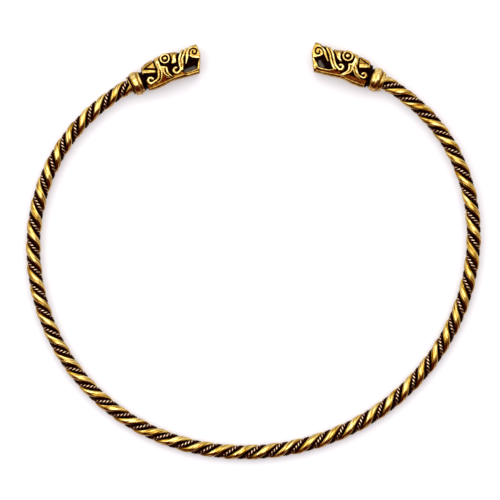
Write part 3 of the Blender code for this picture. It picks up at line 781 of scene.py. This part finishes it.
def muzzle_rings(x, up, out):
    """The muzzle's end, in ever smaller rings, with the open mouth and two nostrils sunk in it."""
    rings = []
    middle = (up[0] + up[-1]) / 2
    for share in MUZZLE_SHARES:
        up_in = middle + (up - middle) * share
        out_in = out * share
        drop = np.maximum(NOSE_FOOT / MM - up, 0) - np.maximum(NOSE_FOOT / MM - up_in, 0)
        above_mouth = np.abs(up_in - MOUTH_MIDDLE) - MOUTH_HALF_HEIGHT
        beside_mouth = np.abs(out_in) - MOUTH_HALF_WIDTH
        mouth = smooth_step(MOUTH_EDGE, -MOUTH_EDGE, np.maximum(above_mouth, beside_mouth))
        nostril = smooth_step(*NOSTRIL_WALL, np.hypot(up_in - NOSTRIL_UP, out_in - NOSTRIL_OUT))
        depth = np.maximum(MOUTH_DEPTH * mouth, NOSTRIL_DEPTH * nostril)
        bright = MUZZLE_RUB - MUZZLE_RUB * np.maximum(mouth, nostril)
        rings.append((x + CHIN_RETREAT * drop, up_in, out_in, 0 * up, 0 * up, -depth, bright, 0 * up))
    return rings


def beast_head(name, node, mouth_angle, side, turn, collar, lean, longer, strokes):
    """Side is 1 for the left head and -1 for the right one. Lean is the slope of the collar's
    mouth, and longer says by how many mm the muzzle is drawn out."""
    along_mm = np.arange(HEAD_START, MUZZLE_END - EDGE_ROUND, RELIEF_STEP) / MM
    profile = through(HEAD_PROFILE, PROFILE_STEPS)
    sizes = np.array([np.interp(along_mm, profile[:, 0], profile[:, i]) for i in range(1, 5)])
    first = head_section(*sizes[:, 0])
    rings = collar_rings(collar, lean, np.arctan2(first[1], first[0]))
    rings += carved_rings(along_mm, sizes, longer, strokes)
    rings += muzzle_rings(*rings[-1][:3])

    # The half rings are moved by their relief and mirrored to whole ones
    columns = [np.array(column) for column in zip(*rings)]
    x, up, out, up_move, out_move, along_move, rub, dust = columns
    x = x + along_move
    up = up + up_move
    back_round = slice(HALF_ROUND - 1, 0, -1)
    x, up, rub, dust = (np.hstack((half, half[:, back_round])) for half in (x, up, rub, dust))
    under = -(out + UNDER_RELIEF * out_move)
    out = np.hstack((out + out_move, under[:, back_round]))
    place = np.stack((x, up, out), axis=-1)

    along, crown_way = head_axes(turn, side)
    mouth_point = ring_point(np.array(mouth_angle))
    points = mouth_point + (along * x[..., None] + crown_way * up[..., None] + UP * out[..., None]) * MM
    if side > 0:  # or else this head's faces would look inwards
        points = points[:, ::-1]
        rub = rub[:, ::-1]
        dust = dust[:, ::-1]
        place = place[:, ::-1]
    else:
        place = place + HEAD_PATTERN_APART
    head = tube(name, laid(points), rub, place, 1)
    # The painted shade in the mouths, kept as its own attribute
    head.data.attributes.new("dust", "FLOAT", "POINT").data.foreach_set("value", dust.reshape(-1))
    head.data.materials.append(cast_bronze)
    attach(head, "root")
    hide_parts(node)


# Cast bronze left as it came from the mould and then handled: worn pale gold where it stands
# proud, black where the cuts are deep, and a little softer in its shine than the drawn strands. The
# mould's fine grain is too fine to show, so its mottling is drawn 1 mm across.
CAST_TONES = (
    (0.0, "#0c0302"),
    (0.3, "#5a1a09"),
    (0.5, "#885414"),
    (0.7, "#a47e34"),
    (0.84, "#bd9c4e"),
    (0.93, "#e4c26e"),
    (1.0, "#f6eaa8"),
)
cast_bronze = worn_and_painted_bronze("lost_wax_cast_bronze", CAST_TONES, (0.55, 0.16), (1.0, 1.0), 0.18)

# Painted shade in the mouths: a matt grey that isn't metal, for the shadowed table seen through the open
# mouth
tree = cast_bronze.node_tree
shader = tree.nodes["Principled BSDF"]
tone = shader.inputs["Base Color"].links[0].from_socket
mouth_shade_share = add(tree, "ShaderNodeAttribute", {"attribute_name": "dust"}).outputs["Fac"]
mouth_shade_tone = add(tree, "ShaderNodeMix", {"data_type": "RGBA", 7: linear("#473d33")}, in_0=mouth_shade_share, in_6=tone)
tree.links.new(mouth_shade_tone.outputs[2], shader.inputs["Base Color"])
bare = add(tree, "ShaderNodeMath", {"operation": "SUBTRACT", 0: 1.0}, in_1=mouth_shade_share)
tree.links.new(bare.outputs[0], shader.inputs["Metallic"])

# Each collar from the socket's mouth to the neck: the place along the head and the radius, in mm,
# and how bright it is rubbed
LEFT_COLLAR = (
    (0.3, 2.6, 0.1),
    (0.0, 2.75, 0.0),
    (0.0, 3.05, 0.1),
    (0.2, 3.2, 1.0),
    (0.45, 3.1, 0.2),
    (0.65, 3.05, 0.0),
    (0.85, 3.3, 0.4),
    (1.05, 3.65, 0.85),
    (1.5, 3.88, 0.97),
    (2.2, 4.0, 1.0),
    (2.8, 3.92, 0.9),
    (3.2, 3.6, 0.6),
    (3.55, 3.66, 0.9),
    (3.9, 3.55, 0.9),
    (4.2, 3.2, 0.2),
    (4.5, 3.05, 0.0),
    (5.1, 3.0, 0.0),
)
RIGHT_COLLAR = (
    (0.3, 2.6, 0.1),
    (0.2, 2.75, 0.7),
    (0.35, 3.1, 0.95),
    (0.7, 3.3, 1.0),
    (1.1, 3.42, 0.97),
    (1.4, 3.35, 0.6),
    (1.7, 3.6, 0.6),
    (2.1, 3.93, 0.97),
    (2.8, 4.05, 1.0),
    (3.2, 3.9, 0.9),
    (3.5, 3.92, 0.97),
    (4.0, 3.8, 1.0),
    (4.4, 3.5, 0.9),
    (4.75, 3.1, 0.1),
    (5.1, 3.05, 0.0),
)

beast_head("left_beast_head", "beast_head_left", LEFT_MOUTH, 1, LEFT_TURN, LEFT_COLLAR,
           lean=-0.1, longer=-0.15, strokes=LEFT_STROKES)
beast_head("right_beast_head", "beast_head_right", RIGHT_MOUTH, -1, RIGHT_TURN, RIGHT_COLLAR,
           lean=0.0, longer=0.45, strokes=RIGHT_STROKES)


# ---- The table ----
# A wide white board, smooth and laid flat. The torc lies loose on it, and nothing holds it there.
# The board isn't part of the torc.

TABLE_HALF = 3  # metres

# White board: matt and even, so that the eye sees only the torc's soft shadow on it.
board = bpy.data.materials.new("white_board")
board.use_nodes = True
shader = board.node_tree.nodes["Principled BSDF"]
shader.inputs["Base Color"].default_value = linear("#f6f5f6")
shader.inputs["Roughness"].default_value = 0.9

corners = [(x * TABLE_HALF, y * TABLE_HALF, 0) for x, y in ((-1, -1), (1, -1), (1, 1), (-1, 1))]
floor_mesh = bpy.data.meshes.new("table")
floor_mesh.from_pydata(corners, [], [(0, 1, 2, 3)])
floor = bpy.data.objects.new("table", floor_mesh)
floor_mesh.materials.append(board)
bpy.context.scene.collection.objects.link(floor)


# ---- Light and camera ----
# A wide soft box hangs overhead, a little towards +Y. The room is pale on that side and dark red on
# the other, but only the metal mirrors it: all else is lit by the box and one even shade. The
# camera looks straight down.

EVEN_SHADE = (0.84, 0.82, 0.87, 1)

world = bpy.data.worlds.new("studio")
bpy.context.scene.world = world
world.use_nodes = True
sky = world.node_tree
ray = add(sky, "ShaderNodeTexCoord").outputs["Generated"]
LIT_SIDE = (0.0, 1.0, 0.0)
facing = add(sky, "ShaderNodeVectorMath", {"operation": "DOT_PRODUCT", 1: LIT_SIDE}, in_0=ray)
across_room = add(sky, "ShaderNodeMapRange", {"From Min": -1.0, "From Max": 1.0},
                  Value=facing.outputs["Value"])
# What the metal mirrors from -Y round to +Y, above the horizon and then below it
ROOM_TONES = (
    (0.0, "#4c0e06"),
    (0.27, "#561208"),
    (0.35, "#b08c60"),
    (0.5, "#e2d2ae"),
    (0.75, "#faf0e0"),
    (1.0, "#fdf6ee"),
)
room = add(sky, "ShaderNodeValToRGB", {"stops": ROOM_TONES}, in_0=across_room.outputs[0])
above = add(sky, "ShaderNodeSeparateXYZ", in_0=ray).outputs["Z"]
HORIZON = (-0.28, -0.05)  # the foot and the top of its soft edge: -1 is straight down
horizon = add(sky, "ShaderNodeMapRange", {"From Min": HORIZON[0], "From Max": HORIZON[1]}, Value=above)
TABLE_TONES = ((0.0, "#cdb0a2"), (1.0, "#f2e8d6"))
below = add(sky, "ShaderNodeValToRGB", {"stops": TABLE_TONES}, in_0=across_room.outputs[0])
mixed = add(sky, "ShaderNodeMix", {"data_type": "RGBA"}, in_0=horizon.outputs[0],
            in_6=below.outputs[0], in_7=room.outputs[0])
glossy = add(sky, "ShaderNodeLightPath").outputs["Is Glossy Ray"]
seen = add(sky, "ShaderNodeMix", {"data_type": "RGBA", 6: EVEN_SHADE}, in_0=glossy,
           in_7=mixed.outputs[2])
sky.links.new(seen.outputs[2], sky.nodes["Background"].inputs["Color"])
sky.nodes["Background"].inputs["Strength"].default_value = 1.0
world.cycles.sampling_method = "NONE"  # so that the metal only ever mirrors the room's own colours
floor.visible_glossy = False  # in the metal, the tones below the horizon stand in for it

BOX_SIZE = (1.5, 1.2)
BOX_PLACE = (-0.13, 0.28, 0.9)
BOX_RADIANCE = 1.45
box = bpy.data.lights.new("over", "AREA")
box.shape = "RECTANGLE"
box.size = BOX_SIZE[0]
box.size_y = BOX_SIZE[1]
box.energy = BOX_RADIANCE * math.pi * BOX_SIZE[0] * BOX_SIZE[1]
lamp = bpy.data.objects.new("over", box)
bpy.context.scene.collection.objects.link(lamp)
lamp.location = BOX_PLACE
lamp.visible_camera = False
lamp.rotation_euler = (-Vector(BOX_PLACE)).to_track_quat("-Z", "Y").to_euler()

CAMERA_HEIGHT = 1.5
CAMERA_PLACE = (-1.165 * MM, 0.26 * MM, CAMERA_HEIGHT)
VIEW_WIDTH = 0.1645  # at the height of the rod's axis
RING_HEIGHT = 2.5 * MM
camera_data = bpy.data.cameras.new("camera")
camera_data.sensor_width = 36
camera_data.angle = 2 * math.atan(VIEW_WIDTH / 2 / (CAMERA_HEIGHT - RING_HEIGHT))
camera_data.clip_start = 0.01
camera = bpy.data.objects.new("camera", camera_data)
bpy.context.scene.collection.objects.link(camera)
camera.location = CAMERA_PLACE
bpy.context.scene.camera = camera
bpy.context.scene.view_settings.view_transform = "Standard"
